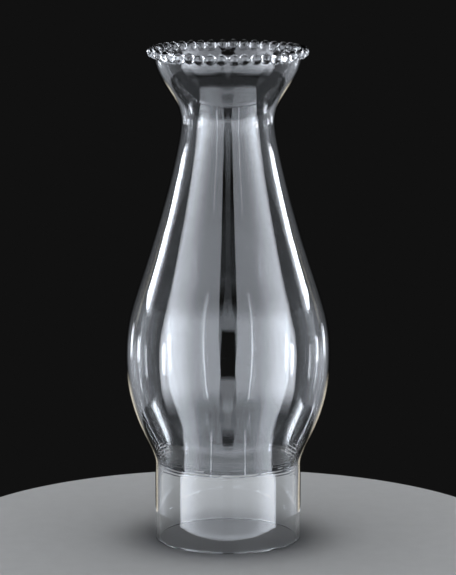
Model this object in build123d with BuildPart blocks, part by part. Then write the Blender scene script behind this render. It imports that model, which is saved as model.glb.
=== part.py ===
"""Glass chimney of an oil lamp, with a pearl top.

One piece of clear blown glass, open at both ends. From the foot up it is a straight collar,
a rounded shoulder, a bulge that holds the flame, a long waist, a neck and a flared cup,
whose rim is crimped into a ring of pearls.

Millimetres. +Z runs up the axis, and the origin is the centre of the foot, on the plane that
the chimney stands on.
"""

import os
from math import cos, radians, sin

from build123d import *

os.makedirs("parts", exist_ok=True)

# Driving dimensions
total_height = 254.0  # foot to the tops of the pearls
wall = 2.0  # glass thickness, square to the surface
foot_rounding = 0.5  # fire-polished edges of the foot
rim_rounding = 0.9  # fire-polished edges of the rim

collar_diameter = 75.0  # outside, stands in the burner's gallery
collar_height = 39.0  # straight part of the collar
bulge_diameter = 105.5  # outside, at the widest place
bulge_height = 96.0  # widest place above the foot
neck_diameter = 48.0  # outside, at the narrowest place
neck_height = 216.0  # narrowest place above the foot
rim_diameter = 76.8  # outside, at the rim between two pearls
rim_lean = 9.0  # degrees, outward lean of the wall at the rim
lip_length = 2.0  # straight run of the wall just under the rim

pearl_count = 42
pearl_diameter = 5.3
pearl_stand = 1.9  # pearls above the rim between them

# How far the outer curve keeps to the straight at each end before it bends away
collar_pull = 10.0
bulge_pull_down = 35.0
bulge_pull_up = 26.0
neck_pull_down = 13.0
neck_pull_up = 10.0
lip_pull = 12.0

# Points that draw the waist and the cup into shape, measured from the nearest end
waist_inwards_from_bulge = 6.8
waist_above_bulge = 32.0
waist_outwards_from_neck = 13.0
waist_below_neck = 61.0
cup_inwards_from_lip = 6.0
cup_below_lip = 16.0

# The inner curve is set square off the outer one at this many places on each stretch
places_per_stretch = 16

# Places on the outer curve, as distance from the axis and height above the foot
up = Vector(0, 1)
lean = Vector(sin(radians(rim_lean)), cos(radians(rim_lean)))
foot = Vector(collar_diameter / 2, 0)
collar_top = Vector(collar_diameter / 2, collar_height)
bulge = Vector(bulge_diameter / 2, bulge_height)
neck = Vector(neck_diameter / 2, neck_height)
rim = Vector(rim_diameter / 2, total_height - pearl_stand - wall * lean.X)
lip = rim - lean * lip_length


def inside(place, direction):
    """The place on the inner face that backs this place on the outer one."""
    return place + Vector(-direction.Y, direction.X) * wall


with BuildPart() as chimney:
    # The wall's section, turned about the axis
    with BuildSketch(Plane.XZ) as wall_section:
        with BuildLine():
            Line(foot, collar_top)
            shoulder = Bezier(
                collar_top,
                collar_top + up * collar_pull,
                bulge - up * bulge_pull_down,
                bulge,
            )
            waist = Bezier(
                bulge,
                bulge + up * bulge_pull_up,
                bulge + Vector(-waist_inwards_from_bulge, waist_above_bulge),
                neck + Vector(waist_outwards_from_neck, -waist_below_neck),
                neck - up * neck_pull_down,
                neck,
            )
            cup = Bezier(
                neck,
                neck + up * neck_pull_up,
                lip - Vector(cup_inwards_from_lip, cup_below_lip),
                lip - lean * lip_pull,
                lip,
            )
            inner_places = [
                inside(stretch @ (step / places_per_stretch), stretch % (step / places_per_stretch))
                for stretch in (shoulder, waist, cup)
                for step in range(places_per_stretch)
            ]
            inner_lip = inside(lip, lean)
            inner_rim = inside(rim, lean)
            inner_foot = inside(foot, up)
            Spline(*inner_places, inner_lip)
            Polyline(lip, rim, inner_rim, inner_lip)
            Polyline(foot, inner_foot, inner_places[0])
        make_face()
        widest_rounding = 0.45 * wall
        fillet(wall_section.vertices().sort_by(Axis.Y)[:2], min(foot_rounding, widest_rounding))
        fillet(wall_section.vertices().sort_by(Axis.Y)[-2:], min(rim_rounding, widest_rounding))
    revolve(axis=Axis.Z)

    # The pearls sit on the outer face of the rim
    with Locations((0, 0, total_height - pearl_diameter / 2)):
        with PolarLocations(rim.X, pearl_count):
            Sphere(pearl_diameter / 2)

chimney.part.label = "chimney"
export_step(chimney.part, "parts/chimney.step")
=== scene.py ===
"""Clear glass chimney of an oil lamp, with a pearl top, standing on a pale floor.

The chimney is one wall of blown soda-lime glass. Its section is drawn once, from the foot up to the
rim, and turned about the axis. Round the rim the wall swells into a ring of crimped pearls.

Sizes of the glass are in millimetres and are turned to metres when a vertex is made. The floor, the
lamps and the camera are in metres. +Z runs up the axis, and the origin is the centre of the foot.
"""

from math import cos, pi, radians, sin, sqrt, tau
from random import Random

import bmesh
import bpy
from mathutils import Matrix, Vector


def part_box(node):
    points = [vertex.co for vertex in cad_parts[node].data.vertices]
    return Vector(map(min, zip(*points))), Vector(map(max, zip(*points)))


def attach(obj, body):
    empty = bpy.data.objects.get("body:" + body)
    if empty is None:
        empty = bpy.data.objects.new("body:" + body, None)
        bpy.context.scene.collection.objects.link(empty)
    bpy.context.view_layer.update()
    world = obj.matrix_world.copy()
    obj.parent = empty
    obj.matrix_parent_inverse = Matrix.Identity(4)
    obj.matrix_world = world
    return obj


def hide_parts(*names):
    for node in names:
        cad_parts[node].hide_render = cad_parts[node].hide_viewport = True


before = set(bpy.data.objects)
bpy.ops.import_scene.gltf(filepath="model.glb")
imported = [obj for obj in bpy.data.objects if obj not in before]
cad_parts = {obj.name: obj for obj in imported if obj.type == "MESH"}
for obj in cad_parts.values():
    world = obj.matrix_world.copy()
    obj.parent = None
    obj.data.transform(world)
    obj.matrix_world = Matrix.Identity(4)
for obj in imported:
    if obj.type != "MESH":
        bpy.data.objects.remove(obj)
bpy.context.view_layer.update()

MM = 0.001

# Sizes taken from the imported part, in millimetres
low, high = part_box("chimney")
total_height = (high.z - low.z) / MM
bulge_diameter = (high.x - low.x) / MM

# Driving dimensions of the wall, in millimetres
wall = 2.0
foot_rounding = 0.5
collar_diameter = 75.0
collar_height = 39.0
bulge_height = 96.0
neck_diameter = 48.0
neck_height = 216.0
rim_diameter = 76.8
rim_lean = radians(9.0)
lip_length = 2.0

pearl_count = 42
pearl_diameter = 5.3
pearl_stand = 1.9  # pearls above the rim between them

# How far the outer curve keeps to the straight at each end before it bends away
collar_pull = 10.0
bulge_pull_down = 35.0
bulge_pull_up = 26.0
neck_pull_down = 13.0
neck_pull_up = 10.0
lip_pull = 12.0

# Points that draw the waist and the cup into shape, measured from the nearest end
waist_inwards_from_bulge = 6.8
waist_above_bulge = 32.0
waist_outwards_from_neck = 13.0
waist_below_neck = 61.0
cup_inwards_from_lip = 6.0
cup_below_lip = 16.0

# How uneven the blowing left the wall, in millimetres, as (lobes round, run up the wall, share, start)
unevenness = 0.06
blown_lobes = ((2, 190.0, 0.45, 0.4), (3, -120.0, 0.3, 2.1), (5, 75.0, 0.15, 4.0), (7, -48.0, 0.1, 1.2))
face_offset = 2.0  # radians by which the inner face's lobes run ahead of the outer face's
settling = 12.0  # the unevenness dies out over this height above the foot and below the pearls
even_top = 14.0  # the wall is even this far below the pearls' tops

# How unlike each other the pearls are
turn_slack = 0.06  # share of the spacing between pearls
drop_slack = 0.12  # millimetres
smallest_pearl = 0.95  # share of the full size
pearl_fillet = 0.7  # millimetres, where a pearl meets the wall

# Fineness of the mesh, in millimetres or in steps
columns_per_pearl = 12
ring_spacing = 1.9  # between rings of the plain wall
rim_ring_spacing = 0.55  # between rings of the wall that swells into the pearls
swelling_top = 13.0  # the swelling wall begins this far below the pearls' tops
above_foot_edge = 0.5  # from the foot's rounded edge to the first ring of the plain wall
below_rim_edge = 0.3  # from the last ring of the swelling wall to the rim's rounded edge
lip_steps = 3
foot_edge_steps = 4
rim_edge_steps = 18
rim_columns = pearl_count * columns_per_pearl
plain_columns = rim_columns // 2

# ---------------------------------------------------------------- the section of the wall


def along_curve(points, t):
    """The place and the direction at t on the Bezier curve of these control points."""
    while len(points) > 2:
        points = [a.lerp(b, t) for a, b in zip(points, points[1:])]
    return points[0].lerp(points[1], t), (points[1] - points[0]).normalized()


def outer_stretches():
    """The control points of each stretch of the outer face, from the foot up, as (radius, height)."""
    up = Vector((0, 1))
    lean = Vector((sin(rim_lean), cos(rim_lean)))
    foot = Vector((collar_diameter / 2, 0))
    collar_top = Vector((collar_diameter / 2, collar_height))
    bulge = Vector((bulge_diameter / 2, bulge_height))
    neck = Vector((neck_diameter / 2, neck_height))
    rim = Vector((rim_diameter / 2, total_height - pearl_stand - wall * lean.x))
    lip = rim - lean * lip_length
    collar = [foot, collar_top]
    shoulder = [collar_top, collar_top + up * collar_pull, bulge - up * bulge_pull_down, bulge]
    waist = [
        bulge,
        bulge + up * bulge_pull_up,
        bulge + Vector((-waist_inwards_from_bulge, waist_above_bulge)),
        neck + Vector((waist_outwards_from_neck, -waist_below_neck)),
        neck - up * neck_pull_down,
        neck,
    ]
    cup = [
        neck,
        neck + up * neck_pull_up,
        lip - Vector((cup_inwards_from_lip, cup_below_lip)),
        lip - lean * lip_pull,
        lip,
    ]
    return collar, shoulder, waist, cup, [lip, rim]


def spaced_places(stretches, spacing):
    """(place, direction) up the outer face, about this far apart."""
    found = []
    for points in stretches:
        length = sum((b - a).length for a, b in zip(points, points[1:]))
        steps = max(2, round(length / spacing))
        found += [along_curve(points, step / steps) for step in range(steps)]
    return found


def square_off(direction):
    """The outward direction, square to the wall."""
    return Vector((direction.y, -direction.x))


def blown_in(angle, height, side):
    """How far a face lies inside its true round, in millimetres. Blown glass is never quite round. side is
    0 on the outer face and 1 on the inner one."""
    total = 0.0
    for lobes, run, share, start in blown_lobes:
        total += share * (1 + sin(lobes * angle + tau * height / run + start + face_offset * side))
    below_top = max(0.0, total_height - even_top - height)
    settled = min(1.0, height / settling, below_top / settling)
    eased = settled * settled * (3 - 2 * settled)
    return unevenness * total / 2 * eased


# ---------------------------------------------------------------- the crimped rim


def smooth_union(a, b, radius):
    """Joins two distances with a fillet of about this radius."""
    share = max(radius - abs(a - b), 0.0) / radius
    return min(a, b) - share * share * radius / 4


def crimped_pearls():
    """Each pearl's (angle, drop, radius). The crimping jaws never close quite alike."""
    hand = Random(42)
    return [
        (
            tau * (index + hand.uniform(-turn_slack, turn_slack)) / pearl_count,
            abs(hand.gauss(0, drop_slack)),
            pearl_diameter / 2 * hand.uniform(smallest_pearl, 1.0),
        )
        for index in range(pearl_count)
    ]


def reach(start, ray, angle, pearls):
    """How far the glass goes from a place on the wall's middle line along a ray in the section. The face
    is found by strides outwards and then by halving the last one."""
    nearest = min(pearls, key=lambda pearl: abs((angle - pearl[0] + pi) % tau - pi))
    turn, drop, radius = nearest
    centre = Vector((rim_diameter / 2, total_height - pearl_diameter / 2 - drop))
    across = angle - turn

    def depth(t):
        place = start + ray * t
        gap = sqrt(
            (place.x * cos(across) - centre.x) ** 2
            + (place.x * sin(across)) ** 2
            + (place.y - centre.y) ** 2
        )
        return smooth_union(t - wall / 2, gap - radius, pearl_fillet)

    stride, farthest, halvings = 0.2, 1.5 * pearl_diameter, 18
    inside, outside = 0.0, 0.4 * wall
    while depth(outside) < 0 and outside < farthest:
        inside, outside = outside, outside + stride
    for _ in range(halvings):
        middle = (inside + outside) / 2
        if depth(middle) < 0:
            inside = middle
        else:
            outside = middle
    return outside


# ---------------------------------------------------------------- the mesh


def edge_rows(face_radius, inwards):
    """(radius, height) up one rounded edge of the foot, from the land to the face. inwards is 1 for the
    outer face and -1 for the inner one."""
    rows = []
    for step in range(foot_edge_steps + 1):
        turn = pi / 2 * step / foot_edge_steps
        radius = face_radius - inwards * foot_rounding * (1 - sin(turn))
        rows.append((radius, foot_rounding * (1 - cos(turn))))
    return rows


def swelling_rays(swelling, lip_end, lean):
    """Rays that trace the section of the rim: (start on the wall's middle line, direction). They run up
    the outer face, round the rim's edge and down the inner face."""
    fine = []
    for (a, da), (b, db) in zip(swelling, swelling[1:] + [(lip_end, lean)]):
        steps = max(1, round((b - a).length / rim_ring_spacing))
        for step in range(steps):
            t = step / steps
            fine.append((a.lerp(b, t), da.lerp(db, t).normalized()))
    outward = square_off(lean)
    middle_end = lip_end - outward * (wall / 2) - lean * (wall / 2)
    middle = [(place - square_off(direction) * (wall / 2), direction) for place, direction in fine]
    middle = [row for row in middle if (row[0] - middle_end).dot(lean) < -below_rim_edge]
    rays = [(start, square_off(direction)) for start, direction in middle]
    for step in range(rim_edge_steps + 1):
        turn = pi * step / rim_edge_steps
        rays.append((middle_end, outward * cos(turn) + lean * sin(turn)))
    rays += [(start, -square_off(direction)) for start, direction in reversed(middle)]
    return rays


def plain_ring(bm, radius, height, side):
    """One ring of the plain wall, uneven as it was blown."""
    made = []
    for k in range(plain_columns):
        angle = tau * k / plain_columns
        reached = (radius - blown_in(angle, height, side)) * MM
        made.append(bm.verts.new((reached * cos(angle), reached * sin(angle), height * MM)))
    return made


def rim_ring(bm, start, ray, pearls):
    """One ring of the rim, which follows the pearls."""
    made = []
    for k in range(rim_columns):
        angle = tau * k / rim_columns
        end = start + ray * reach(start, ray, angle, pearls)
        made.append(bm.verts.new((end.x * cos(angle) * MM, end.x * sin(angle) * MM, end.y * MM)))
    return made


def bridge(bm, lower, upper):
    """Joins two rings that have as many columns."""
    n = len(lower)
    for k in range(n):
        bm.faces.new((lower[k], lower[(k + 1) % n], upper[(k + 1) % n], upper[k]))


def bridge_to_finer(bm, coarse, fine, flip):
    """Joins a plain ring to a rim ring, which has twice as many columns."""
    n = len(coarse)
    for k in range(n):
        a, b = coarse[k], coarse[(k + 1) % n]
        c, d, e = fine[2 * k], fine[2 * k + 1], fine[(2 * k + 2) % (2 * n)]
        for face in ((a, b, d), (a, d, c), (b, e, d)):
            bm.faces.new(tuple(reversed(face)) if flip else face)


def glass_mesh():
    """The whole wall as one closed mesh: up the outer face, over the pearls and down the inner face."""
    stretches = outer_stretches()
    places = spaced_places(stretches[:4], ring_spacing)
    lip_places = [along_curve(stretches[4], step / lip_steps) for step in range(lip_steps)]
    lip_end, lean = along_curve(stretches[4], 1.0)
    plain = [p for p in places if p[0].y < total_height - swelling_top]
    swelling = [p for p in places if p[0].y >= total_height - swelling_top] + lip_places
    plain = [p for p in plain if p[0].y > foot_rounding + above_foot_edge]

    bm = bmesh.new()
    outer = [plain_ring(bm, r, z, 0) for r, z in edge_rows(collar_diameter / 2, 1)]
    outer += [plain_ring(bm, place.x, place.y, 0) for place, _ in plain]
    for lower, upper in zip(outer, outer[1:]):
        bridge(bm, lower, upper)

    inner = [plain_ring(bm, r, z, 1) for r, z in edge_rows(collar_diameter / 2 - wall, -1)]
    for place, direction in plain:
        inside = place - square_off(direction) * wall
        inner.append(plain_ring(bm, inside.x, inside.y, 1))
    for lower, upper in zip(inner, inner[1:]):
        bridge(bm, upper, lower)
    bridge(bm, inner[0], outer[0])

    pearls = crimped_pearls()
    rim = [rim_ring(bm, start, ray, pearls) for start, ray in swelling_rays(swelling, lip_end, lean)]
    for lower, upper in zip(rim, rim[1:]):
        bridge(bm, lower, upper)
    bridge_to_finer(bm, outer[-1], rim[0], False)
    bridge_to_finer(bm, inner[-1], rim[-1], True)

    bmesh.ops.recalc_face_normals(bm, faces=bm.faces)
    mesh = bpy.data.meshes.new("chimney_glass")
    bm.to_mesh(mesh)
    bm.free()
    mesh.shade_smooth()
    return mesh


# ---------------------------------------------------------------- materials


def linear(code):
    """A colour written as sRGB hex, turned to linear."""
    parts = [int(code[i : i + 2], 16) / 255 for i in (1, 3, 5)]
    return tuple(c / 12.92 if c <= 0.04045 else ((c + 0.055) / 1.055) ** 2.4 for c in parts) + (1.0,)


def new_material(name):
    """An empty material and its node tree."""
    material = bpy.data.materials.new(name)
    material.use_nodes = True
    material.node_tree.nodes.clear()
    return material, material.node_tree


def add_node(tree, kind, settings=None, links=None):
    """Adds a node, sets its values by socket or property name, and links its inputs."""
    node = tree.nodes.new(kind)
    for name, value in (settings or {}).items():
        if isinstance(name, int) or name in node.inputs:
            node.inputs[name].default_value = value
        else:
            setattr(node, name, value)
    for name, socket in (links or {}).items():
        tree.links.new(socket, node.inputs[name])
    return node


def blown_soda_lime_glass():
    """Clear soda-lime glass, blown into a turning mould and fire-polished. It is smooth and bends light
    hard. Turning left fine rings above the collar, and cooling left long soft waves and faint drag lines."""
    material, tree = new_material("blown_soda_lime_glass")
    place = add_node(tree, "ShaderNodeNewGeometry").outputs["Position"]
    height = add_node(tree, "ShaderNodeSeparateXYZ", links={0: place}).outputs["Z"]

    # Turning rings, strongest just above the collar. They sway a little up and down on their way round.
    ring_gap = 1.7 * MM
    sway = 1.6 * MM
    sway_run = 14 * MM
    rings_height = (collar_height + 4.0) * MM
    rings_fade_from, rings_fade_to = 2 * MM, 7 * MM
    rings_elsewhere = 0.03
    swaying = add_node(
        tree, "ShaderNodeTexNoise", {"Scale": 1 / sway_run, "Detail": 2.0}, {"Vector": place}
    )
    swayed = add_node(
        tree,
        "ShaderNodeMath",
        {"operation": "MULTIPLY_ADD", 1: sway},
        {0: swaying.outputs["Fac"], 2: height},
    )
    turned = add_node(
        tree, "ShaderNodeMath", {"operation": "MULTIPLY", 1: tau / ring_gap}, {0: swayed.outputs[0]}
    )
    rings = add_node(tree, "ShaderNodeMath", {"operation": "SINE"}, {0: turned.outputs[0]})
    above = add_node(tree, "ShaderNodeMath", {"operation": "SUBTRACT", 1: rings_height}, {0: height})
    away = add_node(tree, "ShaderNodeMath", {"operation": "ABSOLUTE"}, {0: above.outputs[0]})
    zone = add_node(
        tree,
        "ShaderNodeMapRange",
        {
            "interpolation_type": "SMOOTHSTEP",
            "From Min": rings_fade_to,
            "From Max": rings_fade_from,
            "To Min": rings_elsewhere,
            "To Max": 1.0,
        },
        {"Value": away.outputs[0]},
    )
    ringed = add_node(
        tree,
        "ShaderNodeMath",
        {"operation": "MULTIPLY"},
        {0: rings.outputs[0], 1: zone.outputs[0]},
    )

    # Long soft waves, and drag lines that run up the wall
    wave_run = 16 * MM
    drag_gap = 2.5 * MM
    waves = add_node(
        tree, "ShaderNodeTexNoise", {"Scale": 1 / wave_run, "Detail": 1.0}, {"Vector": place}
    )
    drawn_out = add_node(tree, "ShaderNodeMapping", {"Scale": (1.0, 1.0, 0.04)}, {"Vector": place})
    drag = add_node(
        tree,
        "ShaderNodeTexNoise",
        {"Scale": 1 / drag_gap, "Detail": 2.0},
        {"Vector": drawn_out.outputs["Vector"]},
    )

    relief = None
    for share, depth in (
        (ringed.outputs[0], 0.018 * MM),
        (waves.outputs["Fac"], 0.05 * MM),
        (drag.outputs["Fac"], 0.0035 * MM),
    ):
        layer = add_node(
            tree, "ShaderNodeMath", {"operation": "MULTIPLY_ADD", 1: depth, 2: 0.0}, {0: share}
        )
        if relief is not None:
            tree.links.new(relief, layer.inputs[2])
        relief = layer.outputs[0]
    bump = add_node(tree, "ShaderNodeBump", {"Strength": 1.0, "Distance": 1.0}, {"Height": relief})
    glass = add_node(
        tree,
        "ShaderNodeBsdfPrincipled",
        {
            "Base Color": linear("#fdfefe"),
            "Transmission Weight": 1.0,
            "Roughness": 0.0,
            "IOR": 1.52,
        },
        {"Normal": bump.outputs["Normal"]},
    )
    add_node(tree, "ShaderNodeOutputMaterial", links={"Surface": glass.outputs["BSDF"]})
    return material


def matt_pale_board(name, mirrored_by_glass):
    """Pale painted board with a faint, uneven roller texture. Where it isn't mirrored by the glass, the
    glass shows the dark room and its lamps in its place."""
    material, tree = new_material(name)
    roller_mark = 9 * MM
    place = add_node(tree, "ShaderNodeNewGeometry").outputs["Position"]
    roller = add_node(
        tree, "ShaderNodeTexNoise", {"Scale": 1 / roller_mark, "Detail": 5.0}, {"Vector": place}
    )
    # Inputs 6 and 7 of the node are its two colours, and output 2 is the colour between them
    tone = add_node(tree, "ShaderNodeMix", {"data_type": "RGBA"}, {0: roller.outputs["Fac"]})
    tone.inputs[6].default_value = linear("#c0c2c4")
    tone.inputs[7].default_value = linear("#c9cbcd")
    board = add_node(
        tree, "ShaderNodeBsdfPrincipled", {"Roughness": 0.7}, {"Base Color": tone.outputs[2]}
    )
    surface = board.outputs["BSDF"]
    if not mirrored_by_glass:
        path = add_node(tree, "ShaderNodeLightPath")
        clear = add_node(tree, "ShaderNodeBsdfTransparent")
        mirrored = add_node(
            tree,
            "ShaderNodeMath",
            {"operation": "GREATER_THAN", 1: 0.5},
            {0: path.outputs["Glossy Depth"]},
        )
        surface = add_node(
            tree,
            "ShaderNodeMixShader",
            links={0: mirrored.outputs[0], 1: surface, 2: clear.outputs["BSDF"]},
        ).outputs["Shader"]
    add_node(tree, "ShaderNodeOutputMaterial", links={"Surface": surface})
    return material


# ---------------------------------------------------------------- pieces

chimney = bpy.data.objects.new("chimney_glass", glass_mesh())
bpy.context.scene.collection.objects.link(chimney)
chimney.data.materials.append(blown_soda_lime_glass())
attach(chimney, "root")
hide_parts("chimney")

# ---------------------------------------------------------------- floor

floor_radius = 0.15
floor_sides = 128
plate_width = 0.085  # half the size of the middle of the floor, which the glass mirrors
plate_depth = 0.065
air_gap = 0.0001  # under the foot, which never lies quite flat


def on_stage(name, bm, *materials):
    """Makes the mesh an object of the stage, which isn't part of the chimney."""
    mesh = bpy.data.meshes.new(name)
    bm.to_mesh(mesh)
    bm.free()
    for material in materials:
        mesh.materials.append(material)
    made = bpy.data.objects.new(name, mesh)
    bpy.context.scene.collection.objects.link(made)
    return made


def flat_ring(bm, radius_at, height):
    """One flat ring of places round the axis. radius_at gives the radius for a direction."""
    made = []
    for k in range(floor_sides):
        along, across = cos(tau * k / floor_sides), sin(tau * k / floor_sides)
        radius = radius_at(along, across)
        made.append(bm.verts.new((radius * along, radius * across, height)))
    return made


def fill_between(bm, inner, outer, material_index):
    """Joins two flat rings."""
    for k in range(floor_sides):
        after = (k + 1) % floor_sides
        face = bm.faces.new((inner[k], outer[k], outer[after], inner[after]))
        face.material_index = material_index


def round_floor():
    """A pale disc. Its oval middle is mirrored by the glass, and the rest isn't."""
    bm = bmesh.new()
    centre = bm.verts.new((0, 0, -air_gap))

    def oval(x, y):
        return 1 / sqrt((x / plate_width) ** 2 + (y / plate_depth) ** 2)

    plate = flat_ring(bm, oval, -air_gap)
    edge = flat_ring(bm, lambda x, y: floor_radius, -air_gap)
    for k in range(floor_sides):
        bm.faces.new((centre, plate[k], plate[(k + 1) % floor_sides]))
    fill_between(bm, plate, edge, 1)
    middle = matt_pale_board("pale_board", True)
    surround = matt_pale_board("pale_board_outer", False)
    on_stage("floor", bm, middle, surround)


round_floor()

# ---------------------------------------------------------------- lamps that the glass mirrors

light_distance = 1.3
cool_white = "#eef4ff"
warm_white = "#fff6e2"


def glow(name, colour, passes):
    """The cloth's own light, which only the glass mirrors. It is dark when looked at straight through the
    glass, and it lights nothing else. passes is how many faces of glass the sight line has to have gone
    through at least, besides being mirrored."""
    material, tree = new_material(name)
    path = add_node(tree, "ShaderNodeLightPath")
    strength = add_node(tree, "ShaderNodeAttribute", {"attribute_name": "glow"}).outputs["Fac"]
    for output, test, limit in (
        ("Glossy Depth", "GREATER_THAN", 0.5),
        ("Diffuse Depth", "LESS_THAN", 0.5),
        ("Transmission Depth", "GREATER_THAN", passes - 0.5),
    ):
        passed = add_node(
            tree, "ShaderNodeMath", {"operation": test, 1: limit}, {0: path.outputs[output]}
        )
        strength = add_node(
            tree,
            "ShaderNodeMath",
            {"operation": "MULTIPLY"},
            {0: strength, 1: passed.outputs[0]},
        ).outputs[0]
    light = add_node(tree, "ShaderNodeEmission", {"Color": linear(colour)}, {"Strength": strength})
    clear = add_node(tree, "ShaderNodeBsdfTransparent")
    both = add_node(
        tree, "ShaderNodeAddShader", links={0: light.outputs["Emission"], 1: clear.outputs["BSDF"]}
    )
    add_node(tree, "ShaderNodeOutputMaterial", links={"Surface": both.outputs["Shader"]})
    material.cycles.emission_sampling = "NONE"
    return material


def between(stops, x):
    """The value at x on straight runs between (x, value) stops."""
    for (x0, v0), (x1, v1) in zip(stops, stops[1:]):
        if x <= x1:
            return v0 + (v1 - v0) * (x - x0) / (x1 - x0)
    return stops[-1][1]


def lamp_cloth(name, side, across, rise, splay=(0, 0), fall=0.0, passes=0, colour=cool_white):
    """A sheet of lit cloth bent round the object. across is its brightness at azimuths in degrees from
    the camera's side, and rise is its share of that at heights in metres. splay opens its inner and outer
    edge, in degrees for each metre up. fall curves its top edge down, in metres for each degree
    squared."""
    columns, rows_per_run = 32, 4
    first, last = across[0][0], across[-1][0]
    bottom, top = rise[0][0], rise[-1][0]
    runs = list(zip(rise, rise[1:]))
    heights = [a + (b - a) * k / rows_per_run for (a, _), (b, _) in runs for k in range(rows_per_run)]
    heights.append(top)
    bm = bmesh.new()
    layer = bm.verts.layers.float.new("glow")
    rows = []
    for height in heights:
        row = []
        for column in range(columns + 1):
            outwards = column / columns
            azimuth = first + (last - first) * outwards
            opening = splay[0] * (1 - outwards) + splay[1] * outwards
            turn = radians(azimuth + opening * height) * side
            lowered = height - fall * azimuth**2 * (height - bottom) / (top - bottom)
            vertex = bm.verts.new((light_distance * sin(turn), -light_distance * cos(turn), lowered))
            vertex[layer] = between(across, azimuth) * between(rise, height)
            row.append(vertex)
        rows.append(row)
    for lower, upper in zip(rows, rows[1:]):
        for k in range(columns):
            bm.faces.new((lower[k], lower[k + 1], upper[k + 1], upper[k]))
    cloth = on_stage(name, bm, glow(name, colour, passes))
    cloth.visible_camera = False


def lit_ring():
    """A lit ring under the floor. Only the shoulder above the collar mirrors it."""
    radii = ((0.058, 1.1), (0.070, 1.1), (0.080, 0.0))  # in metres, each with its brightness
    bm = bmesh.new()
    layer = bm.verts.layers.float.new("glow")
    edges = []
    for radius, strength in radii:
        edges.append(flat_ring(bm, lambda x, y: radius, -2 * air_gap))
        for vertex in edges[-1]:
            vertex[layer] = strength
    for inner, outer in zip(edges, edges[1:]):
        fill_between(bm, inner, outer, 0)
    ring = on_stage("shoulder_ring", bm, glow("shoulder_ring", cool_white, 0))
    ring.visible_camera = False


# The two large panels stand apart, and the gap between them opens upwards
gap_edge = 8.6  # degrees
gap_splay = 3.9  # degrees for each metre up
panel_edge = 81  # degrees

# Each lamp's name, its brightness across, its share of that upwards, and what else it needs
lamps = [
    (
        "panel",
        ((gap_edge, 2.1), (35, 2.2), (48, 3.0), (58, 4.4), (70, 5.6), (panel_edge, 6.0)),
        ((-0.8, 0), (-0.6, 0.2), (-0.45, 0.6), (-0.35, 0.95), (-0.15, 1), (0.95, 1), (1.1, 0)),
        {"splay": (gap_splay, 0)},
    ),
    (
        "panel_top",
        ((gap_edge, 2.0), (panel_edge, 2.4)),
        ((0.95, 0), (1.1, 1), (1.6, 1), (2.12, 0.95), (2.28, 0)),
        {"splay": (gap_splay, 0), "fall": 0.00011},
    ),
    (
        "bulb",
        ((73.6, 0), (74.6, 28), (75.8, 28), (76.8, 0)),
        ((-0.22, 0), (-0.16, 1), (0.1, 1), (0.17, 0)),
        {},
    ),
    ("strip", ((112.5, 18), (122, 22)), ((0.29, 1), (0.5, 1), (0.62, 0)), {}),
]
for azimuth, strength in ((118, 20), (137, 9)):
    width = ((azimuth - 0.9, strength), (azimuth + 0.9, strength))
    lamps.append(("low_tube_%d" % azimuth, width, ((-0.16, 0), (-0.1, 1), (0.02, 1), (0.08, 0)), {}))
for azimuth, strength in ((110.8, 7), (108.6, 3.5), (106.2, 2)):
    width = ((azimuth - 0.5, strength), (azimuth + 0.5, strength))
    lamps.append(("tube_%d" % azimuth, width, ((0.29, 1), (0.74, 1)), {}))
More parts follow.
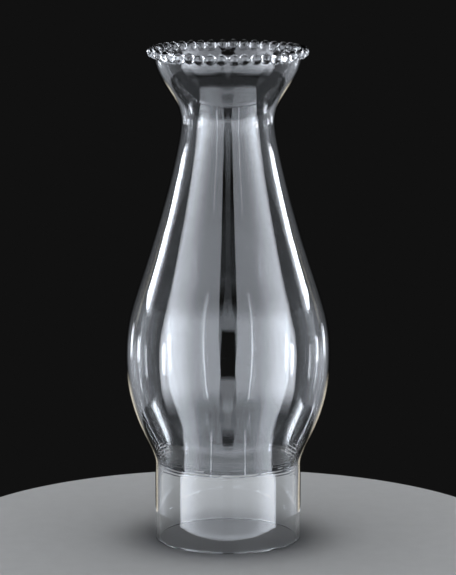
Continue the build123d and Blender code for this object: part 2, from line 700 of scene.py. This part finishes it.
lamps += [
    ("wall", ((82, 0.32), (118, 0.3), (135, 0.13), (155, 0.03)), ((-0.5, 1), (2.0, 1)), {}),
    (
        "low_wall",
        ((96, 0), (112, 0.3), (126, 0.9), (138, 0.5), (152, 0)),
        ((-0.5, 0.6), (-0.1, 1), (0.05, 0)),
        {},
    ),
    (
        "low_back",
        ((150, 0), (154, 0.8), (158, 0.8), (162, 0)),
        ((-0.5, 0), (-0.38, 1), (-0.28, 1), (-0.2, 0)),
        {"colour": warm_white},
    ),
    (
        "line",
        ((28.6, 7), (30.1, 7)),
        ((-0.95, 0.3), (-0.1, 1), (0.75, 1), (0.85, 0)),
        {"passes": 4},
    ),
    (
        "front_low",
        ((0, 1), (gap_edge, 1)),
        ((-1.3, 0.1), (-0.9, 0.35), (-0.6, 1.25), (-0.45, 1.8), (-0.25, 1.8), (-0.19, 0)),
        {"splay": (0, gap_splay)},
    ),
    (
        "front_high",
        ((0, 1), (gap_edge, 1)),
        (
            (0.8, 0),
            (1.0, 1.9),
            (1.25, 1.3),
            (1.6, 1.0),
            (1.75, 1.1),
            (1.9, 2.0),
            (2.0, 2.0),
            (2.15, 1.0),
            (2.35, 0.1),
        ),
        {"splay": (0, gap_splay)},
    ),
    ("below", ((0, 0.2), (80, 0.22)), ((-3.4, 0), (-3.0, 1), (-1.1, 1), (-0.9, 0)), {}),
]
for side, hand in ((-1, "left"), (1, "right")):
    for name, across, rise, more in lamps:
        lamp_cloth("%s_%s" % (name, hand), side, across, rise, **more)
lit_ring()

# ---------------------------------------------------------------- room light and camera


def overhead_light():
    """A soft round lamp that lights the floor. The glass doesn't show it."""
    data = bpy.data.lights.new("overhead", "AREA")
    data.shape = "DISK"
    data.size = 0.7
    data.energy = 8.0
    lamp = bpy.data.objects.new("overhead", data)
    bpy.context.scene.collection.objects.link(lamp)
    lamp.location = (0.0, 0.0, 1.2)
    lamp.visible_camera = False
    lamp.visible_glossy = False
    lamp.visible_transmission = False


def dark_room():
    """A near-black room, so that clear glass shows by what it mirrors."""
    world = bpy.data.worlds.new("dark_room")
    world.use_nodes = True
    world.node_tree.nodes["Background"].inputs["Color"].default_value = linear("#111111")
    bpy.context.scene.world = world
    bpy.context.scene.view_settings.view_transform = "Standard"


def studio_camera():
    """A long lens in front, a little above the rim and looking down at the chimney."""
    distance, height, look_down, lens = 1.613, 0.414, 9.967, 200.7
    data = bpy.data.cameras.new("camera")
    data.lens = lens
    data.sensor_width = 36.0
    camera = bpy.data.objects.new("camera", data)
    bpy.context.scene.collection.objects.link(camera)
    camera.location = (0.0, -distance, height)
    camera.rotation_euler = (radians(90 - look_down), 0.0, 0.0)
    bpy.context.scene.camera = camera


overhead_light()
dark_room()
studio_camera()
